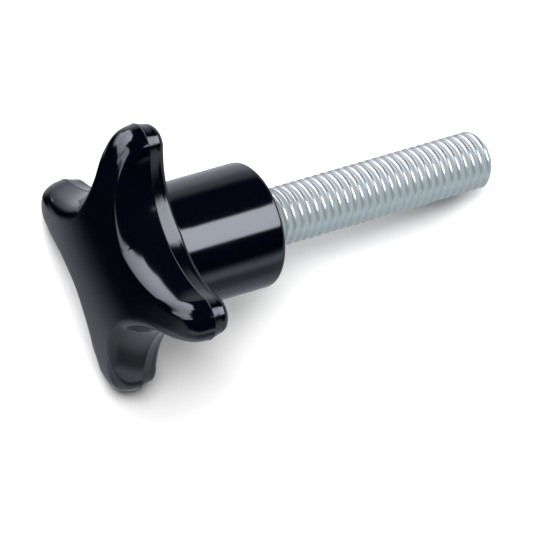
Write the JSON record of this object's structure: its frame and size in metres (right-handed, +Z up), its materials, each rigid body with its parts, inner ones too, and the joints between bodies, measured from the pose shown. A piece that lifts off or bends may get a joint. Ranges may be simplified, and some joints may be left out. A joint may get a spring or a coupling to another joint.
{
  "type": "star knob",
  "caption": "Star knob with rounded arms, a crowned front, a round hub and a long threaded stud, for clamping and adjusting by hand.",
  "frame": {"origin": "centre of the hub's end face, on the axis of the stud", "axes": "+Z up and +X towards the stud's end, as the knob lies on a bench: it rests on the tips of two arms and on the end of the stud, so its axis slopes down along +X by 11.6 degrees"},
  "size_m": [0.0768, 0.0376, 0.037],
  "materials": {
    "grip": "glossy black moulded phenolic",
    "stud": "bright blue zinc plating on steel"
  },
  "bodies": {
    "root": {"grip": "grip", "stud": "stud"}
  },
  "joints": []
}
